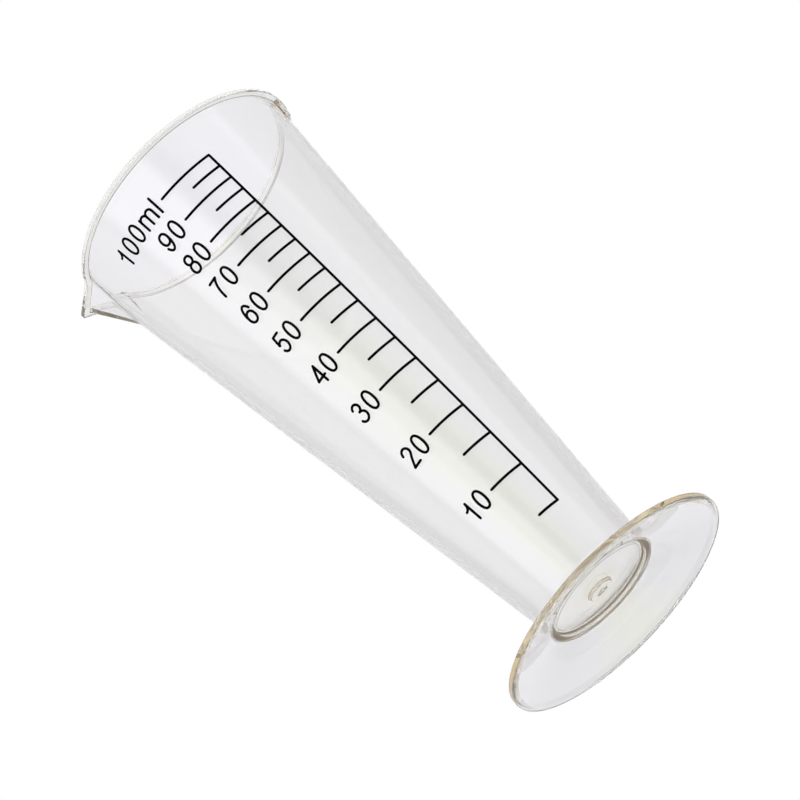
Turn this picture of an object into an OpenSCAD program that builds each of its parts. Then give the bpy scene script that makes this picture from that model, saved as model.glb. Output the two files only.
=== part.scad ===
// Conical measuring cup of clear moulded plastic, 100 ml, with a pouring spout, a round foot
// and a printed scale. Millimetres, +Z up. The origin is the centre of the foot's resting face.
// The spout points to -X, and the scale is on the side that faces -Y.

/* [Cup] */
// Height of the whole cup, from the foot's resting face to the rim
cup_h = 122; // [117:0.5:132]
// Outer radius of the conical wall at its lower end
wall_r_low = 12.15; // [11:0.05:13.5]
// Outer radius of the conical wall at the rim
wall_r_high = 25.25; // [24.7:0.05:27]
// Thickness of the conical wall, measured level
wall_t = 1.3; // [0.9:0.1:1.8]
// Thickness of the cup's floor
floor_t = 1.5; // [0.7:0.1:2]
// Height of the skirt that the wall forms below the floor
skirt_h = 0.6; // [0.6:0.1:1.6]
// Thickness of that skirt
skirt_t = 1.15; // [0.8:0.05:1.8]
// Radius of the moulding gate's stub under the floor
gate_r = 2.7; // [1.5:0.1:4]
// Height of the gate's stub
gate_h = 0.6; // [0.4:0.1:2.4]
// Radius of the dimple in the gate's stub
gate_dimple_r = 1.4; // [0.6:0.1:1.4]
// Depth of that dimple
gate_dimple_h = 0.3; // [0.1:0.1:0.3]

/* [Rim] */
// Height of the flange round the rim
flange_h = 1.1; // [0.8:0.05:2]
// How far the flange stands out from the wall
flange_out = 1; // [0.6:0.05:1.6]
// Radius of the flange's rounded outer edges
flange_round = 0.15; // [0.1:0.05:0.4]
// Width of the lug under the flange, opposite the spout
lug_w = 3; // [2:0.1:6]
// How far the lug stands out from the wall
lug_out = 0.8; // [0.4:0.05:0.9]
// Height of the lug
lug_h = 3.9; // [2:0.1:6]

/* [Spout] */
// How far the spout's keel stands out from the wall at the rim
spout_reach = 4.6; // [3:0.1:6]
// Height of the spout, from the bottom of its keel to the rim
spout_h = 11.3; // [8:0.1:16]
// Angle round the cup from the spout's middle to its sides' roots at the rim
spout_root_angle = 20; // [14:0.5:26]
// Thickness of the spout's sides
spout_t = 1.2; // [0.8:0.1:1.5]
// How far the flange stands out from the keel at the spout's tip
lip_out = 1.2; // [0.6:0.1:1.6]
// Radius of the spout's tip, seen from above
tip_round = 0.5; // [0.2:0.1:0.8]

/* [Foot] */
// Radius of the foot
foot_r = 25.6; // [22:0.1:30]
// Thickness of the foot's plate
foot_t = 1.1; // [1:0.1:2.2]
// Width of the flat ring that the foot rests on
rest_ring_w = 1.5; // [0.9:0.05:3]
// Radius of the foot's rounded edges
foot_round = 0.2; // [0.1:0.05:0.5]
// Height of the hollow under the foot, where the cup's lower end is
dish_h = 4.1; // [3:0.1:6]
// Thickness of the cement film between the cup and the foot
cement_gap = 0.05; // [0.03:0.01:0.12]
// Width of the cement's fillet round the top of the joint
fillet_w = 0.6; // [0.3:0.1:1.5]

/* [Scale] */
// Volume at the top mark, in millilitres, in a cup that holds it
full_ml = 100; // [60:10:100]
// Width of every printed line
line_w = 0.52; // [0.3:0.02:0.56]
// Thickness of the printed ink
ink_t = 0.06; // [0.04:0.01:0.12]
// Angle round the cup that a long mark covers
long_mark_angle = 29; // [22:1:33]
// Length of a short mark
short_mark_l = 6.55; // [4:0.05:6.8]
// Length of the lowest mark
lowest_mark_l = 4.5; // [3:0.1:6]
// Angle round the cup of the scale's upright line, halfway up it
spine_az = -62.25; // [-75:0.25:-50]
// How far the upright line turns round the cup on its way up
spine_turn = -7; // [-10:0.5:2]

/* [Numbers] */
// Height of a numeral
digit_h = 4.5; // [3.8:0.1:5]
// Width of a numeral
digit_w = 2.3; // [1.8:0.1:2.6]
// Distance from one numeral's middle to the next one's
digit_pitch = 3.05; // [2.9:0.05:3.5]
// Height of the letter m
x_height = 3.4; // [2.8:0.1:3.8]
// Distance between the upright lines of the letter m
stem_pitch = 1.6; // [1.2:0.1:1.8]
// Gap between a long mark and its number
number_gap = 1.2; // [0.8:0.05:2]
// Gap between the number at the top mark and its unit
unit_gap = 0.8; // [0.5:0.05:1.5]
// How far a number's middle sits above its mark
number_lift = 0.25; // [0:0.05:0.5]

/* [Hidden] */
$fn = 96;
mm3_per_ml = 1000;
step_ml = 5;
lap = 1;
root_lap = 0.5;
root_lap_angle = 1;
taper = (wall_r_high - wall_r_low) / (cup_h - dish_h);
floor_under_z = dish_h + skirt_h;
floor_z = floor_under_z + floor_t;
flange_z = cup_h - flange_h;
skirt_r = wall_r_low - skirt_t;

// Outer radius of the wall, and radius of the space inside it, at height z
function wall_r(z) = wall_r_low + taper * (z - dish_h);
function bore_r(z) = wall_r(z) - wall_t;

// The foot's plate, which slopes from its resting ring up to the cup
rest_r = foot_r - rest_ring_w;
foot_slope = dish_h / (rest_r - wall_r_low);
foot_rise = foot_t * sqrt(1 + pow(foot_slope, 2));
function foot_top_z(r) = foot_rise + foot_slope * (rest_r - r);
function socket_r(z) = wall_r(z) + cement_gap;
socket_top_z = (foot_rise + foot_slope * (rest_r - socket_r(0))) / (1 + foot_slope * taper);

// The spout's keel is straight, and the roots of its sides form an arch on the wall
keel_z = cup_h - spout_h;
keel_slope = taper + spout_reach / spout_h;
spout_levels = 10;

// Heights of the volume marks, for a space inside that widens evenly
floor_r = bore_r(floor_z);
function level_z(ml) =
    floor_z + (pow(pow(floor_r, 3) + 3 * taper * ml * mm3_per_ml / PI, 1 / 3) - floor_r) / taper;

// A long mark for each number whose top stays below the flange, and a short one between two
function number_top_z(ml) = level_z(ml) + number_lift + digit_h / 2;
long_ml = 2 * step_ml;
numbers_ml = [for (ml = [long_ml:long_ml:full_ml]) if (number_top_z(ml) < flange_z) ml];
top_ml = max(numbers_ml);
marks_ml = [for (ml = [step_ml:step_ml:top_ml]) ml];
function is_long(ml) = ml % long_ml == 0;

// The upright line turns evenly round the cup from the lowest mark to the highest
low_mark_z = level_z(step_ml);
high_mark_z = level_z(top_ml);
function spine_az_at(z) =
    spine_az + spine_turn * ((z - low_mark_z) / (high_mark_z - low_mark_z) - 0.5);
function angle_of(length, z) = length / wall_r(z) * 180 / PI;
function length_of(angle, z) = angle * wall_r(z) * PI / 180;
function mark_angle(ml) =
    is_long(ml) ? long_mark_angle
    : angle_of(ml == step_ml ? lowest_mark_l : short_mark_l, level_z(ml));

// Points on an arc of an ellipse, from angle a0 to angle a1
function arc(cx, cy, rx, ry, a0, a1, n = 8) =
    [for (i = [0:n]) let (a = a0 + (a1 - a0) * i / n) [cx + rx * cos(a), cy + ry * sin(a)]];

// The solid shape of the cup, before the space inside it is taken out
module cup_outline() {
    gate_z = floor_under_z - gate_h;
    flange_r = wall_r(cup_h) + flange_out;
    corner_r = flange_r - flange_round;
    polygon(concat(
        [
            [0, gate_z + gate_dimple_h],
            [gate_dimple_r, gate_z],
            [gate_r, gate_z],
            [gate_r, floor_under_z],
            [skirt_r, floor_under_z],
            [skirt_r, dish_h],
            [wall_r(dish_h), dish_h],
            [wall_r(flange_z), flange_z]
        ],
        arc(corner_r, flange_z + flange_round, flange_round, flange_round, -90, 0),
        arc(corner_r, cup_h - flange_round, flange_round, flange_round, 0, 90),
        [[0, cup_h]]));
}

module bore_outline() {
    polygon([
        [0, floor_z],
        [bore_r(floor_z), floor_z],
        [bore_r(cup_h + lap), cup_h + lap],
        [0, cup_h + lap]]);
}

// The spout at height z: its keel, and the ends of its two sides, sunk below the surface
// that they grow out of, at an angle from the spout's middle
function keel_r(z) = wall_r(keel_z) + keel_slope * (z - keel_z);
function arch_z(i) = cup_h - spout_h * cos(90 * i / spout_levels);
function arch_angle(i) = root_lap_angle + spout_root_angle * sin(90 * i / spout_levels);
function root_r(surface_r) = surface_r - root_lap;
rim_root_r = root_r(wall_r(cup_h));
rim_root_angle = arch_angle(spout_levels);
spout_lean = atan2(
    rim_root_r * sin(rim_root_angle),
    keel_r(cup_h) - rim_root_r * cos(rim_root_angle));
spout_back = spout_t / sin(spout_lean);
function spout_level(keel, root, angle, z) = [
    [-keel, 0, z],
    [-root * cos(angle), root * sin(angle), z],
    [-root * cos(angle), -root * sin(angle), z]];

// A solid through a stack of three-cornered levels, closed at both ends
module through_levels(levels) {
    n = 3;
    top = len(levels) - 1;
    points = [for (level = levels) each level];
    sides = [for (k = [0:top - 1], j = [0:n - 1])
        let (a = n * k + j, b = n * k + (j + 1) % n)
        each [[a, b + n, a + n], [a, b, b + n]]];
    polyhedron(points, concat(sides, [[2, 1, 0], [n * top, n * top + 1, n * top + 2]]));
}

module spout_outside() {
    levels = [for (i = [0:spout_levels])
        let (z = arch_z(i))
        spout_level(keel_r(z), root_r(wall_r(z)), arch_angle(i), z)];
    low_z = keel_z - lap;
    below = spout_level(keel_r(low_z), root_r(wall_r(low_z)), root_lap_angle, low_z);
    through_levels(concat([below], levels));
}

module spout_inside() {
    levels = [for (i = [0:spout_levels])
        let (z = arch_z(i))
        spout_level(keel_r(z) - spout_back, root_r(bore_r(z)), arch_angle(i), z)];
    low_z = keel_z - lap;
    below = spout_level(
        keel_r(low_z) - spout_back, root_r(bore_r(low_z)), root_lap_angle, low_z);
    above = [for (point = levels[spout_levels]) point + [0, 0, lap]];
    through_levels(concat([below], levels, [above]));
}

// The flange runs on round the spout's edge, parallel to its sides
module spout_lip() {
    tip_r = keel_r(cup_h) + lip_out;
    side_l = wall_r(cup_h) * sin(spout_root_angle) / sin(spout_lean);
    round_x = tip_round / sin(spout_lean) - tip_r;
    root_x = side_l * cos(spout_lean) - tip_r;
    root_y = side_l * sin(spout_lean);
    translate([0, 0, flange_z])
        linear_extrude(height = flange_h)
            polygon(concat(
                [[root_x, root_y], [root_x, -root_y]],
                arc(round_x, 0, tip_round, tip_round, 270 - spout_lean, 90 + spout_lean)));
}

module thumb_lug() {
    low_z = flange_z - lug_h;
    turn = angle_of(lug_w, low_z);
    rotate([0, 0, -turn / 2])
        rotate_extrude(angle = turn)
            polygon([
                [bore_r(low_z) + lap / 2, low_z],
                [wall_r(low_z) + lug_out, low_z],
                [wall_r(flange_z) + lug_out, flange_z],
                [bore_r(flange_z) + lap / 2, flange_z]]);
}

module cup_body() {
    color("aliceblue", 0.5) difference() {
        union() {
            rotate_extrude() cup_outline();
            spout_outside();
            spout_lip();
            thumb_lug();
        }
        rotate_extrude() bore_outline();
        spout_inside();
    }
}

module foot_disc() {
    corner_r = foot_r - foot_round;
    color("aliceblue", 0.5) rotate_extrude()
        polygon(concat(
            [[socket_r(dish_h), dish_h], [rest_r, 0]],
            arc(corner_r, foot_round, foot_round, foot_round, -90, 0),
            arc(corner_r, foot_rise - foot_round, foot_round, foot_round, 0, 90),
            [[rest_r, foot_rise], [socket_r(socket_top_z), socket_top_z]]));
}

module cement_ring() {
    fillet_r = socket_r(socket_top_z) + fillet_w;
    fillet_z = socket_top_z + fillet_w;
    color("wheat", 0.6) rotate_extrude()
        polygon([
            [wall_r(dish_h), dish_h],
            [socket_r(dish_h), dish_h],
            [socket_r(socket_top_z), socket_top_z],
            [fillet_r, foot_top_z(fillet_r)],
            [wall_r(fillet_z), fillet_z]]);
}

// Everything printed is cut out of one thin skin on the outside of the wall
module ink_skin() {
    low_z = low_mark_z - line_w;
    rotate_extrude()
        polygon([
            [wall_r(low_z), low_z],
            [wall_r(low_z) + ink_t, low_z],
            [wall_r(flange_z) + ink_t, flange_z],
            [wall_r(flange_z), flange_z]]);
}

// Pushes a flat drawing straight out through the wall, at an angle round the cup
module through_wall(az) {
    rotate([90, 0, az + 90])
        linear_extrude(height = wall_r(cup_h) + flange_out)
            children();
}

// The outline of a line of width line_w along a smooth row of points, to one side of the row
function heading(path, i, closed) =
    let (
        last = len(path) - 1,
        ahead = closed && i == last ? path[1] : path[min(i + 1, last)],
        behind = closed && i == 0 ? path[last - 1] : path[max(i - 1, 0)]
    )
    atan2(ahead[1] - behind[1], ahead[0] - behind[0]);
function off(point, angle) = point + line_w / 2 * [cos(angle), sin(angle)];
function beside(path, side, closed) =
    [for (i = [0:len(path) - (closed ? 2 : 1)]) off(path[i], heading(path, i, closed) + side)];
function round_end(point, outward) = [for (turn = [60:-30:-60]) off(point, outward + turn)];
function reversed(list) = [for (i = [len(list) - 1:-1:0]) list[i]];

// Draws the line: closed if its last point is its first, and with round ends if not
module pen(path) {
    last = len(path) - 1;
    closed = norm(path[0] - path[last]) < line_w / 10;
    if (closed) difference() {
        polygon(beside(path, -90, closed));
        polygon(beside(path, 90, closed));
    } else
        polygon(concat(
            beside(path, 90, closed),
            round_end(path[last], heading(path, last, closed)),
            reversed(beside(path, -90, closed)),
            round_end(path[0], heading(path, 0, closed) + 180)));
}

module scale_line() {
    path = [for (ml = marks_ml)
        let (z = level_z(ml))
        [wall_r(z) * sin(spine_az_at(z) - spine_az), z]];
    through_wall(spine_az) pen(path);
}

module scale_spine() {
    color("black") intersection() {
        ink_skin();
        scale_line();
    }
}

// A mark is a level line that starts inside the upright line and runs to the left
module mark(ml) {
    z = level_z(ml);
    turn = mark_angle(ml) - angle_of(line_w / 4, z);
    end_az = spine_az_at(z) - mark_angle(ml);
    color("black") intersection() {
        ink_skin();
        difference() {
            union() {
                rotate([0, 0, end_az])
                    rotate_extrude(angle = turn)
                        translate([0, z - line_w / 2])
                            square([wall_r(cup_h), line_w]);
                through_wall(end_az)
                    translate([0, z])
                        circle(d = line_w, $fn = 24);
            }
            scale_line();
        }
    }
}

// Half the width and half the height of a numeral, to the middle of its line
w = (digit_w - line_w) / 2;
h = (digit_h - line_w) / 2;

// A tall closed oval with nearly straight sides
function oval(cy, rx, ry, n = 24) =
    [for (i = [0:n])
        let (a = 360 * i / n)
        [rx * sign(cos(a)) * pow(abs(cos(a)), 0.8), cy + ry * sin(a)]];

// The smooth lines that make up each numeral, with the numeral's middle at the origin
function lines_of(c) =
    c == "0" ? [oval(0, w, h)]
    : c == "1" ? [
        [[0.4 * w, -h], [0.4 * w, h]],
        arc(-0.7 * w, h, 1.1 * w, 0.65 * h, -90, 0)]
    : c == "2" ? [
        concat(arc(0, 0.5 * h, w, 0.5 * h, 175, -30, 14), [[0.1 * w, -0.2 * h], [-w, -h]]),
        [[-w, -h], [w, -h]]]
    : c == "3" ? [
        arc(-0.1 * w, 0.55 * h, 0.9 * w, 0.45 * h, 160, -90, 16),
        arc(-0.1 * w, -0.45 * h, 1.1 * w, 0.55 * h, 90, -160, 18)]
    : c == "4" ? [
        [[0.6 * w, -h], [0.6 * w, h]],
        [[0.6 * w, h], [-1.1 * w, -0.4 * h]],
        [[-1.1 * w, -0.4 * h], [1.2 * w, -0.4 * h]]]
    : c == "5" ? [
        [[0.9 * w, h], [-0.6 * w, h]],
        [[-0.6 * w, h], [-0.9 * w, 0.02 * h]],
        arc(0, -0.37 * h, w, 0.63 * h, 145, -155, 18)]
    : c == "6" ? [
        oval(-0.37 * h, w, 0.63 * h),
        arc(0.1 * w, -0.25 * h, 1.1 * w, 1.25 * h, 35, 180, 14)]
    : c == "7" ? [
        [[-w, h], [w, h]],
        arc(1.7 * w, -h, 2.2 * w, 2.1 * h, 110, 180, 12)]
    : c == "8" ? [
        oval(0.55 * h, 0.88 * w, 0.45 * h),
        oval(-0.45 * h, w, 0.55 * h)]
    : c == "9" ? [
        oval(0.37 * h, w, 0.63 * h),
        arc(-0.1 * w, 0.25 * h, 1.1 * w, 1.25 * h, -145, 0, 14)]
    : [];

// The letters m and l, with their baseline at the foot of a numeral
x_top = x_height - line_w - h;
arch_r = stem_pitch / 2;
m_lines = [for (i = [0:2])
    i == 0
    ? [[-stem_pitch, -h], [-stem_pitch, x_top]]
    : concat(
        arc((i - 1.5) * stem_pitch, x_top - arch_r, arch_r, arch_r, 180, 0, 10),
        [[(i - 1) * stem_pitch, -h]])];
l_lines = [[[0, -h], [0, h]]];
l_gap = 0.78 * stem_pitch;

module glyph(lines, left, z) {
    through_wall(spine_az_at(z) - angle_of(left, z))
        translate([0, z])
            for (path = lines) pen(path);
}

// Distances to the left of the upright line
function text_right(ml) = length_of(long_mark_angle, level_z(ml)) + line_w / 2 + number_gap;
l_left = text_right(top_ml) + line_w / 2;
m_left = l_left + l_gap + stem_pitch;
function number_right(ml) =
    ml == top_ml ? m_left + stem_pitch + line_w / 2 + unit_gap : text_right(ml);

module number(ml) {
    word = str(ml);
    last = len(word) - 1;
    color("black") intersection() {
        ink_skin();
        for (i = [0:last])
            glyph(
                lines_of(word[i]),
                number_right(ml) + digit_w / 2 + (last - i) * digit_pitch,
                level_z(ml) + number_lift);
    }
}

module unit_ml() {
    z = level_z(top_ml) + number_lift;
    color("black") intersection() {
        ink_skin();
        union() {
            glyph(m_lines, m_left, z);
            glyph(l_lines, l_left, z);
        }
    }
}

cup_body();
foot_disc();
cement_ring();
scale_spine();
for (ml = marks_ml) mark(ml);
for (ml = numbers_ml) number(ml);
unit_ml();
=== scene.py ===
"""A conical measuring cup of clear plastic: smooth skins for its two mouldings, ink, light and camera.

The row frame holds: metres, +Z up along the cup's axis, the spout to -X, the scale facing -Y.
"""
import math

import bpy
import numpy as np
from mathutils import Matrix, Vector


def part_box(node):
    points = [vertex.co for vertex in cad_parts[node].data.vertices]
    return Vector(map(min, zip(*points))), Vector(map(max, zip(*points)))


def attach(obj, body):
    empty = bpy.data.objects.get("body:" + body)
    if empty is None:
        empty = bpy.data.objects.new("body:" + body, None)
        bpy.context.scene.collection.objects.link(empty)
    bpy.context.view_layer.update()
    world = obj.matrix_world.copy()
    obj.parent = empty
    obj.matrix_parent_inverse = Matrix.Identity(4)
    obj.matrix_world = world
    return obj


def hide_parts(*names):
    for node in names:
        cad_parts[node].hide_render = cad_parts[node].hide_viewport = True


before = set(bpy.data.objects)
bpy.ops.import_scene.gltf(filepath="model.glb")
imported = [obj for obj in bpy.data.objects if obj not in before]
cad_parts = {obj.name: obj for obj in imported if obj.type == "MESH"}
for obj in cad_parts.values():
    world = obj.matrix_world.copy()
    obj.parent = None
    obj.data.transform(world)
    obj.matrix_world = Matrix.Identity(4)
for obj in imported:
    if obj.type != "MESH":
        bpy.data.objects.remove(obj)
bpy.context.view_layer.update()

MM = 0.001

# Sizes of the cup in millimetres: its wall, floor, and the gate's stub under the floor
CUP_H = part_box("cup_body")[1][2] / MM
DISH_H = 4.1
WALL_R_LOW = 12.15
WALL_R_HIGH = 25.25
WALL_T = 1.3
SKIRT_H = 0.6
SKIRT_T = 1.15
SKIRT_ROUND = 0.1
FLOOR_T = 1.5
FLOOR_ROUND = 0.8
GATE_R = 2.7
GATE_H = 0.6
GATE_ROUND = 0.25
DIMPLE_R = 1.4
DIMPLE_H = 0.3
DIMPLE_ROUND = 0.4
TAPER = (WALL_R_HIGH - WALL_R_LOW) / (CUP_H - DISH_H)
FLOOR_UNDER_Z = DISH_H + SKIRT_H
FLOOR_Z = FLOOR_UNDER_Z + FLOOR_T
GATE_Z = FLOOR_UNDER_Z - GATE_H

# The rim's flange, and the lug under it
FLANGE_H = 1.1
FLANGE_OUT = 1.0
FLANGE_TOP_ROUND = 0.25
FLANGE_UNDER_ROUND = 0.04
FLANGE_FILLET = 0.2
FILLET_SHARE = 0.4  # the most of the flange's overhang that the fillet takes, beside the lug
RIM_INNER_ROUND = 0.04
FLANGE_Z = CUP_H - FLANGE_H
LUG_W = 3.0
LUG_OUT = 0.8
LUG_H = 3.9
LUG_SIDE_SOFT = 0.25
LUG_LOW_SOFT = 0.8
LUG_Z = FLANGE_Z - LUG_H

# The spout and its lip, with angles in degrees
SPOUT_H = 11.3
SPOUT_T = 1.2
SPOUT_REACH = 4.6
SPOUT_ROOT_ANGLE = 20.0
SPOUT_BLEND = 0.15
ROOT_LAP = 0.5
ROOT_LAP_ANGLE = 1.0
LIP_OUT = 1.2
LIP_HALF_ANGLE = 40
TIP_ROUND = 0.5
KEEL_Z = CUP_H - SPOUT_H
KEEL_SLOPE = TAPER + SPOUT_REACH / SPOUT_H

# The foot
FOOT_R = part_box("foot_disc")[1][0] / MM
FOOT_T = 1.1
FOOT_ROUND = 0.2
FOOT_LEVEL_W = 0.4
REST_RING_W = 1.5
CEMENT_GAP = 0.05
SOCKET_ROUND = 0.15
SOCKET_TOP_ROUND = 0.1
REST_R = FOOT_R - REST_RING_W
FOOT_SLOPE = DISH_H / (REST_R - WALL_R_LOW)
FOOT_RISE = FOOT_T * math.hypot(1, FOOT_SLOPE)

# How fine the skins are: heights in millimetres, and steps round the axis in degrees
ARC_STEPS = 6
AXIS_R = 0.05
LOWEST_RING_Z = DISH_H + 1
PLAIN_LOW_Z = DISH_H + 10
PLAIN_HIGH_Z = KEEL_Z - 2
SPOUT_LOW_Z = KEEL_Z - 1
RIM_RING_Z = CUP_H - 0.5
FLOOR_RING_Z = FLOOR_Z + 4
PLAIN_RINGS = 6
SPOUT_RING_STEP = 0.2
LUG_RING_STEP = 0.05
FILLET_GAP = 0.05
SEAM_GAP = 0.1
SHARP_ANGLE = 28
TIP_TURN = 1
SPOUT_TURN = 26
LUG_TURN = 176
FINE_STEP = 0.1
SPOUT_STEP = 0.25
WALL_STEP = 1.0
FOOT_STEP = 0.75


def wall_r(z):
    return WALL_R_LOW + TAPER * (z - DISH_H)


def bore_r(z):
    return wall_r(z) - WALL_T


def keel_r(z):
    return wall_r(KEEL_Z) + KEEL_SLOPE * (z - KEEL_Z)


# Skins

def turned(points):
    """A profile with each corner (radius, height, rounding) replaced by a small arc."""
    out = []
    for i, (r, z, rounding) in enumerate(points):
        here = np.array([r, z], float)
        if rounding == 0 or i in (0, len(points) - 1):
            out.append(here)
            continue
        back = np.array(points[i - 1][:2]) - here
        ahead = np.array(points[i + 1][:2]) - here
        back /= np.linalg.norm(back)
        ahead /= np.linalg.norm(ahead)
        half = math.acos(float(np.clip(back @ ahead, -1, 1))) / 2
        middle = (back + ahead) / np.linalg.norm(back + ahead)
        centre = here + middle * rounding / math.sin(half)
        first = here + back * rounding / math.tan(half) - centre
        last = here + ahead * rounding / math.tan(half) - centre
        for k in range(ARC_STEPS + 1):
            mixed = first * (ARC_STEPS - k) + last * k
            out.append(centre + mixed / np.linalg.norm(mixed) * rounding)
    return out


def quarter_arc(start):
    """Cosine and sine along a quarter of a turn that begins at the angle start, in degrees."""
    angles = [math.radians(start + 90 / ARC_STEPS * k) for k in range(ARC_STEPS + 1)]
    return [(math.cos(angle), math.sin(angle)) for angle in angles]


def smooth_max(a, b, width):
    """The larger of two lengths, with the change from one to the other rounded over width."""
    return (a + b + np.sqrt((a - b) ** 2 + width ** 2)) / 2 - width / 2


def soft_step(value):
    """0 up to 0 and 1 from 1, with a smooth change between them."""
    t = np.clip(value, 0, 1)
    return t * t * (3 - 2 * t)


def spout_side(phi, z, keel, surface_r):
    """The spout's side at height z: its distance from the axis at angle phi from the spout's middle,
    the angle at which it meets the wall, and how far it leans away from the middle."""
    climb = np.clip((CUP_H - z) / SPOUT_H, 0, 1)
    angle = math.radians(ROOT_LAP_ANGLE + SPOUT_ROOT_ANGLE * math.sqrt(1 - climb ** 2))
    root = surface_r - ROOT_LAP
    lean = math.atan2(root * math.sin(angle), keel - root * math.cos(angle))
    return keel * math.sin(lean) / np.sin(lean + phi), angle, lean


def rim_lean():
    """How far the spout's side leans away from its middle at the rim."""
    _, _, lean = spout_side(0.0, CUP_H, keel_r(CUP_H), wall_r(CUP_H))
    return lean


def with_spout(phi, z, keel, surface_r):
    """A wall of radius surface_r at height z, pushed out to the spout's side near its middle."""
    if z <= SPOUT_LOW_Z:
        return np.full_like(phi, surface_r)
    side, angle, _ = spout_side(phi, z, keel, surface_r)
    blended = smooth_max(side, surface_r, SPOUT_BLEND)
    return np.where(phi < angle, np.maximum(blended, surface_r), surface_r)


def outer_r(phi, z):
    return with_spout(phi, z, keel_r(z), wall_r(z))


def inner_r(phi, z):
    return with_spout(phi, z, keel_r(z) - SPOUT_T / math.sin(rim_lean()), bore_r(z))


def flange_r(phi):
    """The flange's edge: round the rim, and out along the lip to its rounded tip."""
    lean = rim_lean()
    tip = keel_r(CUP_H) + LIP_OUT
    side = tip * math.sin(lean) / np.sin(lean + np.minimum(phi, math.radians(LIP_HALF_ANGLE)))
    centre = tip - TIP_ROUND / math.sin(lean)
    round_angle = math.atan2(TIP_ROUND * math.cos(lean), centre + TIP_ROUND * math.sin(lean))
    aside = np.minimum(centre * np.sin(phi), TIP_ROUND)
    nose = centre * np.cos(phi) + np.sqrt(TIP_ROUND ** 2 - aside ** 2)
    side = np.where(phi < round_angle, nose, side)
    return smooth_max(side, np.full_like(phi, wall_r(CUP_H) + FLANGE_OUT), SPOUT_BLEND)


def lug_out(phi, z):
    """How far the lug, opposite the spout, stands out from the wall."""
    from_middle = (math.pi - phi) * wall_r(FLANGE_Z)
    across = soft_step((LUG_W / 2 - from_middle) / LUG_SIDE_SOFT)
    return LUG_OUT * across * soft_step((z - LUG_Z) / LUG_LOW_SOFT)


def skin(name, rings, angles):
    """A closed mesh through rings of radii and heights in millimetres, with a point at each end."""
    count = len(angles)
    points = [(0.0, 0.0, rings[0][1][0])]
    for radii, heights in rings:
        for radius, height, angle in zip(radii, heights, angles):
            points.append((-radius * math.cos(angle), radius * math.sin(angle), height))
    points.append((0.0, 0.0, rings[-1][1][0]))
    last = len(points) - 1
    faces = [(0, 1 + (i + 1) % count, 1 + i) for i in range(count)]
    for k in range(len(rings) - 1):
        low = 1 + k * count
        for i in range(count):
            j = (i + 1) % count
            faces.append((low + i, low + j, low + count + j, low + count + i))
    low = 1 + (len(rings) - 1) * count
    faces += [(last, low + i, low + (i + 1) % count) for i in range(count)]
    return closed_mesh(name, points, faces)


def ring_skin(name, profile, angles):
    """A closed mesh turned from a closed profile that doesn't reach the axis."""
    count = len(angles)
    points = [(-r * math.cos(a), r * math.sin(a), z) for r, z in profile for a in angles]
    faces = []
    for k in range(len(profile)):
        low = k * count
        high = (k + 1) % len(profile) * count
        for i in range(count):
            j = (i + 1) % count
            faces.append((low + i, low + j, high + j, high + i))
    return closed_mesh(name, points, faces)


def closed_mesh(name, points, faces):
    """A smooth object from points in millimetres, with its faces turned to the outside."""
    mesh = bpy.data.meshes.new(name)
    mesh.from_pydata([(x * MM, y * MM, z * MM) for x, y, z in points], [], faces)
    corners = np.array(points)
    volume = 0.0
    for face in faces:
        a, b, c = corners[face[0]], corners[face[1]], corners[face[2]]
        volume += a @ np.cross(b, c)
        if len(face) == 4:
            volume += a @ np.cross(c, corners[face[3]])
    if volume < 0:
        mesh.flip_normals()
    mesh.polygons.foreach_set("use_smooth", [True] * len(mesh.polygons))
    mesh.set_sharp_from_angle(angle=math.radians(SHARP_ANGLE))
    mesh.update()
    piece = bpy.data.objects.new(name, mesh)
    bpy.context.scene.collection.objects.link(piece)
    return piece


def turns():
    """Angles round the cup from the spout's middle, closer together at the spout and the lug."""
    half = np.concatenate([
        np.arange(FINE_STEP, TIP_TURN, FINE_STEP),
        np.arange(TIP_TURN, SPOUT_TURN, SPOUT_STEP),
        np.arange(SPOUT_TURN, LUG_TURN, WALL_STEP),
        np.arange(LUG_TURN, 180, FINE_STEP)])
    whole = np.concatenate([[0], half, [180], -half[::-1]])
    return np.radians(whole)


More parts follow.
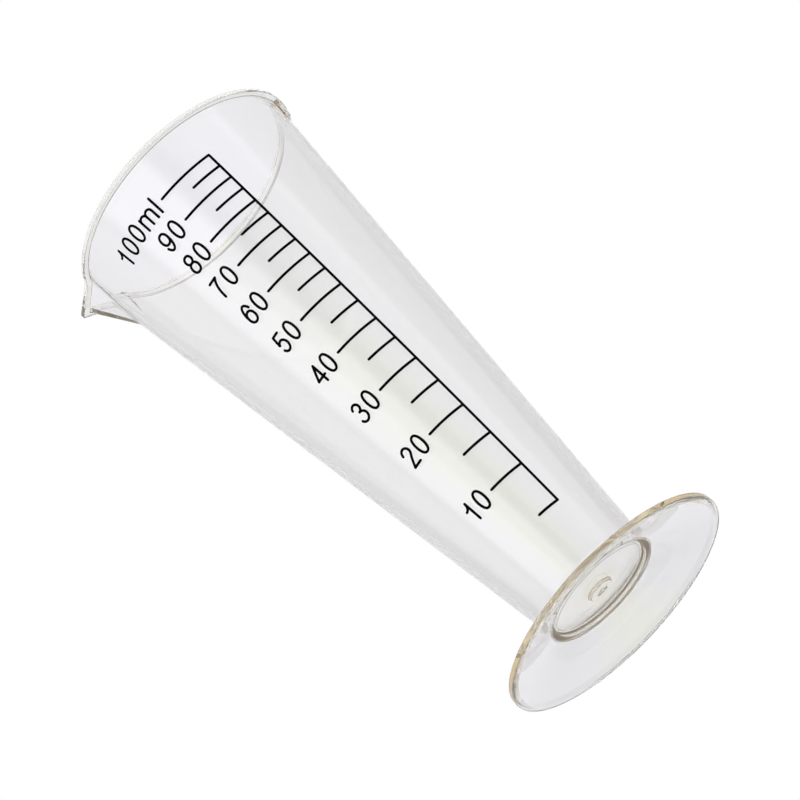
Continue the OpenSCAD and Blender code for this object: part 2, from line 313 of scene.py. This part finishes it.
def cup_skin():
    """The cup's moulding, from the dimple under its floor, up the outside and down the inside."""
    angles = turns()
    phi = np.abs(angles)
    flat = np.ones_like(phi)
    rings = []

    def turned_rings(points):
        for r, z in turned(points):
            rings.append((r * flat, z * flat))

    def rounded_edge(radius, height, rounding, start):
        for across, up in quarter_arc(start):
            rings.append((radius + rounding * across, (height + rounding * up) * flat))

    turned_rings([
        (AXIS_R, GATE_Z + DIMPLE_H, 0),
        (DIMPLE_R, GATE_Z, DIMPLE_ROUND),
        (GATE_R, GATE_Z, GATE_ROUND),
        (GATE_R, FLOOR_UNDER_Z, GATE_ROUND),
        (WALL_R_LOW - SKIRT_T, FLOOR_UNDER_Z, SKIRT_ROUND),
        (WALL_R_LOW - SKIRT_T, DISH_H, SKIRT_ROUND),
        (WALL_R_LOW, DISH_H, SKIRT_ROUND),
        (wall_r(LOWEST_RING_Z), LOWEST_RING_Z, 0)])

    plain = list(np.linspace(PLAIN_LOW_Z, PLAIN_HIGH_Z, PLAIN_RINGS))
    beside_spout = list(np.arange(SPOUT_LOW_Z, FLANGE_Z - FLANGE_FILLET - FILLET_GAP, SPOUT_RING_STEP))
    beside_lug = list(np.arange(LUG_Z, LUG_Z + LUG_LOW_SOFT, LUG_RING_STEP))
    for z in sorted(plain + beside_spout + beside_lug):
        rings.append((outer_r(phi, z) + lug_out(phi, z), z * flat))

    edge = flange_r(phi)
    wall = outer_r(phi, FLANGE_Z) + lug_out(phi, FLANGE_Z)
    hollow = np.minimum(FLANGE_FILLET, (edge - wall) * FILLET_SHARE)
    for across, up in quarter_arc(0):
        rings.append((wall + hollow * (1 - across), FLANGE_Z - hollow * (1 - up)))
    rounded_edge(edge - FLANGE_UNDER_ROUND, FLANGE_Z + FLANGE_UNDER_ROUND, FLANGE_UNDER_ROUND, -90)
    rounded_edge(edge - FLANGE_TOP_ROUND, CUP_H - FLANGE_TOP_ROUND, FLANGE_TOP_ROUND, 0)
    rim = inner_r(phi, CUP_H)
    rounded_edge(rim + RIM_INNER_ROUND, CUP_H - RIM_INNER_ROUND, RIM_INNER_ROUND, 90)

    for z in list(np.arange(RIM_RING_Z, SPOUT_LOW_Z, -SPOUT_RING_STEP)) + plain[::-1]:
        rings.append((inner_r(phi, z), z * flat))
    turned_rings([
        (bore_r(FLOOR_RING_Z), FLOOR_RING_Z, 0),
        (bore_r(FLOOR_Z), FLOOR_Z, FLOOR_ROUND),
        (AXIS_R, FLOOR_Z, 0)])
    return skin("cup_moulding", rings, angles)


def foot_skin():
    """The foot's moulding. Its profile starts and ends half way up the socket that holds the cup."""
    socket_low = wall_r(DISH_H) + CEMENT_GAP
    top_z = (FOOT_RISE + FOOT_SLOPE * (REST_R - WALL_R_LOW)) / (1 + FOOT_SLOPE * TAPER)
    socket_high = wall_r(top_z) + CEMENT_GAP
    seam_z = (top_z + DISH_H) / 2
    corners = [
        (socket_high, seam_z, 0),
        (socket_low, DISH_H, SOCKET_ROUND),
        (REST_R, 0, FOOT_ROUND),
        (FOOT_R, 0, FOOT_ROUND),
        (FOOT_R, FOOT_RISE, FOOT_ROUND),
        (FOOT_R - FOOT_LEVEL_W, FOOT_RISE, FOOT_ROUND),
        (socket_high, top_z, SOCKET_TOP_ROUND),
        (socket_high, seam_z + SEAM_GAP, 0)]
    angles = np.radians(np.arange(0, 360, FOOT_STEP))
    return ring_skin("foot_moulding", turned(corners), angles)


# Materials

WHITE = (1.0, 1.0, 1.0, 1)
WARM_TINT = (0.84, 0.71, 0.40, 1)
TINT_DENSITY = 38.0
POLISHED = 0.01
SLIGHTLY_HAZY = 0.05


class Wire:
    """A node socket, so that shader maths can be written as Python expressions."""

    def __init__(self, shader, socket):
        self.shader = shader
        self.socket = socket

    def maths(self, operation, first, second):
        return self.shader.node("ShaderNodeMath", {"operation": operation}, {0: first, 1: second})

    def __add__(self, other):
        return self.maths("ADD", self, other)

    __radd__ = __add__

    def __sub__(self, other):
        return self.maths("SUBTRACT", self, other)

    def __rsub__(self, other):
        return self.maths("SUBTRACT", other, self)

    def __mul__(self, other):
        return self.maths("MULTIPLY", self, other)

    __rmul__ = __mul__


class Shader:
    """The node tree of a material or world, with one method that adds a node of any kind."""

    def __init__(self, owner):
        owner.use_nodes = True
        self.tree = owner.node_tree
        self.tree.nodes.clear()

    def node(self, kind, settings=None, sockets=None, out=0):
        made = self.tree.nodes.new(kind)
        for key, value in (settings or {}).items():
            setattr(made, key, value)
        for key, value in (sockets or {}).items():
            if isinstance(value, Wire):
                self.tree.links.new(value.socket, made.inputs[key])
            else:
                made.inputs[key].default_value = value
        if len(made.outputs) == 0:
            return None
        return Wire(self, made.outputs[out])


def material(name):
    made = bpy.data.materials.new(name)
    return made, Shader(made)


def noise(shader, scale, detail=3.0):
    place = shader.node("ShaderNodeTexCoord", out="Object")
    return shader.node(
        "ShaderNodeTexNoise", sockets={"Vector": place, "Scale": scale, "Detail": detail})


def ramp(shader, value, low, high):
    """0 below low and 1 above high, with a soft change between them."""
    return shader.node(
        "ShaderNodeMapRange", {"interpolation_type": "SMOOTHSTEP"},
        {"Value": value, "From Min": low, "From Max": high})


def absolute(shader, value):
    return shader.node("ShaderNodeMath", {"operation": "ABSOLUTE"}, {0: value})


def mixed_colour(shader, share, first, second):
    return shader.node(
        "ShaderNodeMix", {"data_type": "RGBA"}, {0: share, 6: first, 7: second}, out=2)


def clear_plastic(name, haze):
    """Clear plastic. Light that goes a long way inside it takes on a warm tint."""
    made, shader = material(name)
    roughness = noise(shader, 60.0) * (haze * 0.5) + haze * 0.3
    waves = shader.node(
        "ShaderNodeBump",
        sockets={"Strength": 0.03, "Distance": 0.0002, "Height": noise(shader, 90.0, 1.0)})
    plastic = shader.node(
        "ShaderNodeBsdfPrincipled",
        sockets={
            "Base Color": (0.99, 0.99, 0.99, 1), "Roughness": roughness, "IOR": 1.5,
            "Transmission Weight": 0.965, "Normal": waves})
    in_shadow = shader.node("ShaderNodeLightPath", out="Is Shadow Ray")
    clear = shader.node("ShaderNodeBsdfTransparent", sockets={"Color": (0.93, 0.93, 0.94, 1)})
    both = shader.node("ShaderNodeMixShader", sockets={0: in_shadow, 1: plastic, 2: clear})
    depth = shader.node(
        "ShaderNodeVolumeAbsorption", sockets={"Color": WARM_TINT, "Density": TINT_DENSITY})
    shader.node("ShaderNodeOutputMaterial", sockets={"Surface": both, "Volume": depth})
    return made


def printed_ink():
    made, shader = material("printed_ink")
    grain = noise(shader, 900.0)
    colour = mixed_colour(shader, grain, (0.0005, 0.0005, 0.0006, 1), (0.002, 0.002, 0.002, 1))
    height = shader.node(
        "ShaderNodeBump", sockets={"Strength": 0.15, "Distance": 0.00003, "Height": grain})
    ink = shader.node(
        "ShaderNodeBsdfPrincipled",
        sockets={
            "Base Color": colour, "Roughness": 0.7 + grain * 0.2, "Specular IOR Level": 0.06,
            "Normal": height})
    shader.node("ShaderNodeOutputMaterial", sockets={"Surface": ink})
    return made


def pale_floor(radius):
    """A pale floor that fades out far from the object and isn't there when seen from below."""
    made, shader = material("pale_floor")
    place = shader.node("ShaderNodeTexCoord", out="Object")
    away = shader.node("ShaderNodeVectorMath", {"operation": "LENGTH"}, {0: place}, out="Value")
    fade = ramp(shader, away, radius * 0.25, radius)
    below = shader.node("ShaderNodeNewGeometry", out="Backfacing")
    gone = shader.node("ShaderNodeMath", {"operation": "MAXIMUM"}, {0: fade, 1: below})
    paper = shader.node(
        "ShaderNodeBsdfPrincipled",
        sockets={"Base Color": (0.9, 0.9, 0.9, 1), "Roughness": 0.8, "Specular IOR Level": 0.1})
    nothing = shader.node("ShaderNodeBsdfTransparent")
    both = shader.node("ShaderNodeMixShader", sockets={0: gone, 1: paper, 2: nothing})
    shader.node("ShaderNodeOutputMaterial", sockets={"Surface": both})
    return made


# Stage

# The direction of the backdrop's middle, behind the cup as the photograph shows it
BACK_DIRECTION = Vector((-0.056, 0.95, 0.31)).normalized()
LAVENDER = (0.975, 0.98, 1.03, 1)
CREAM = (0.975, 0.99, 0.95, 1)

# How bright the parts of the studio are
SIDES = 0.46
BACKDROP = 0.33
BACKDROP_MIDDLE = 0.09
LEFT_BOX = 1.5
RIGHT_BOX = 0.5
RIGHT_BOX_RISE = 0.35
UPPER_BOX = 0.5
GLOW_BOX = 0.3
OVERHEAD = 0.6
EVERYWHERE = 0.05
GAP_DEPTH = 0.75
CARD_DEPTH = 0.15
BOX_EDGE = 0.04

LAMP_W = 0.6
FLOOR_R = 1.2


def soft_box(shader, turn, z, middle, half_turn, low, high, edge=0.1):
    """A softly edged box on the studio's wall, from low to high, about a heading in radians."""
    across = 1 - ramp(shader, absolute(shader, turn - middle), half_turn - edge, half_turn + edge)
    above_low = ramp(shader, z, low - BOX_EDGE, low + BOX_EDGE)
    below_high = 1 - ramp(shader, z, high - BOX_EDGE, high + BOX_EDGE)
    return across * (above_low * below_high)


def soft_boxes(shader, x, y, z):
    """The boxes that show as pale bands on the plastic."""
    turn = shader.node("ShaderNodeMath", {"operation": "ARCTAN2"}, {0: x, 1: y * -1})
    left = soft_box(shader, turn, z, middle=-0.49, half_turn=0.52, low=-0.2, high=0.44, edge=0.14)
    right = soft_box(shader, turn, z, middle=0.87, half_turn=0.52, low=-0.2, high=0.44)
    right_light = RIGHT_BOX + RIGHT_BOX_RISE * ramp(shader, turn, 0.4, 0.9)
    upper = soft_box(shader, turn, z, middle=1.35, half_turn=0.85, low=0.47, high=0.68)
    glow = soft_box(shader, turn, z, middle=0.72, half_turn=0.3, low=0.47, high=0.68)
    return left * LEFT_BOX + right * right_light + upper * UPPER_BOX + glow * GLOW_BOX


def backdrop_light(shader, facing, off_middle, z):
    """The backdrop and the side walls, with a dim gap above and a dim card on each side."""
    sides = ramp(shader, facing, -0.35, -0.1) * SIDES
    wide = ramp(shader, facing, 0.2, 1.1) * BACKDROP
    middle = ramp(shader, facing, 0.9, 0.99) * BACKDROP_MIDDLE
    above_floor = ramp(shader, z, -0.75, -0.3)
    gap = ramp(shader, z, 0.62, 0.76) * (1 - ramp(shader, off_middle, 0.2, 0.4))
    cards = ramp(shader, off_middle, 0.16, 0.22) * (1 - ramp(shader, off_middle, 0.36, 0.44))
    low_cards = cards * (1 - ramp(shader, z, 0.48, 0.58))
    return (sides + wide + middle) * above_floor * (1 - gap * GAP_DEPTH) * (1 - low_cards * CARD_DEPTH)


def studio():
    """A room of soft light round the cup. The camera itself sees plain white behind the cup."""
    world = bpy.data.worlds.new("studio")
    bpy.context.scene.world = world
    shader = Shader(world)
    toward = shader.node("ShaderNodeTexCoord", out="Generated")
    x, y, z = [shader.node("ShaderNodeSeparateXYZ", sockets={0: toward}, out=axis) for axis in "XYZ"]
    facing = shader.node(
        "ShaderNodeVectorMath", {"operation": "DOT_PRODUCT"},
        {0: toward, 1: BACK_DIRECTION}, out="Value")
    off_middle = absolute(shader, x - BACK_DIRECTION.x)
    overhead = ramp(shader, z, 0.86, 0.96) * OVERHEAD
    walls = backdrop_light(shader, facing, off_middle, z)
    bright = walls + soft_boxes(shader, x, y, z) + overhead + EVERYWHERE
    warm = (1 - ramp(shader, off_middle, 0.005, 0.04)) * (1 - ramp(shader, z, 0.42, 0.47))
    seen = shader.node("ShaderNodeLightPath", out="Is Camera Ray")
    colour = mixed_colour(shader, seen, mixed_colour(shader, warm, LAVENDER, CREAM), WHITE)
    light = shader.node(
        "ShaderNodeBackground", sockets={"Color": colour, "Strength": bright * (1 - seen) + seen})
    shader.node("ShaderNodeOutputWorld", sockets={"Surface": light})


def lamp(name, place, power, colour):
    """A square soft lamp that faces the cup's middle and isn't seen itself."""
    data = bpy.data.lights.new(name, "AREA")
    data.shape = "SQUARE"
    data.size = LAMP_W
    data.energy = power
    data.color = colour
    made = bpy.data.objects.new(name, data)
    made.location = place
    aim = Vector((0, 0, CUP_H * MM / 2)) - Vector(place)
    made.rotation_mode = "QUATERNION"
    made.rotation_quaternion = aim.to_track_quat("-Z", "Y")
    made.visible_camera = False
    made.visible_transmission = False
    made.visible_glossy = False
    bpy.context.scene.collection.objects.link(made)


def floor():
    near, far = -FLOOR_R, FLOOR_R
    mesh = bpy.data.meshes.new("floor")
    mesh.from_pydata([(near, near, 0), (far, near, 0), (far, far, 0), (near, far, 0)], [], [(0, 1, 2, 3)])
    sheet = bpy.data.objects.new("floor", mesh)
    bpy.context.scene.collection.objects.link(sheet)
    sheet.visible_glossy = False
    sheet.data.materials.append(pale_floor(FLOOR_R))


# The photograph's view: where the eye is, where it looks, and how far the picture is tilted
EYE = Vector((0.036083, -0.625848, -0.222427))
LOOK_AT = Vector((-0.0000633, -0.0000366, 0.05924))
PICTURE_TILT = math.radians(-46.5573)
PICTURE_PIXELS = 800
FOCAL_PIXELS = 3668.3
SENSOR_MM = 36.0


def camera():
    data = bpy.data.cameras.new("camera")
    data.sensor_width = SENSOR_MM
    data.lens = FOCAL_PIXELS / PICTURE_PIXELS * SENSOR_MM
    data.clip_start = 0.01
    data.clip_end = 20.0
    made = bpy.data.objects.new("camera", data)
    ahead = (LOOK_AT - EYE).normalized()
    level = ahead.cross(Vector((0, 0, 1))).normalized()
    up = level.cross(ahead)
    right = level * math.cos(PICTURE_TILT) + up * math.sin(PICTURE_TILT)
    top = right.cross(ahead)
    turn = Matrix((right, top, -ahead)).transposed()
    made.matrix_world = Matrix.Translation(EYE) @ turn.to_4x4()
    bpy.context.scene.collection.objects.link(made)
    bpy.context.scene.camera = made


def paint(node, finish):
    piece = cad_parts[node]
    piece.data.materials.clear()
    piece.data.materials.append(finish)


def dress():
    """The two mouldings get skins in place of their solids. The cement and the ink keep theirs."""
    plastic = clear_plastic("clear_plastic", POLISHED)
    cement = clear_plastic("cement", SLIGHTLY_HAZY)
    ink = printed_ink()
    cup = cup_skin()
    foot = foot_skin()
    for piece, node in ((cup, "cup_body"), (foot, "foot_disc")):
        piece.data.materials.append(plastic)
        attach(piece, "root")
        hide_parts(node)
    paint("cement_ring", cement)
    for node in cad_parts:
        if node.startswith(("mark_", "number_", "unit_", "scale_")):
            paint(node, ink)


camera()
studio()
floor()
dress()
lamp("key", place=(-0.5, -0.6, 0.9), power=7.0, colour=(1, 1, 1))
lamp("fill", place=(0.5, 0.6, 0.9), power=3.5, colour=(0.95, 0.975, 1))

scene = bpy.context.scene
scene.view_settings.view_transform = "Standard"
scene.cycles.max_bounces = 64
scene.cycles.transmission_bounces = 64
scene.cycles.glossy_bounces = 16
scene.cycles.transparent_max_bounces = 32
scene.cycles.use_denoising = True
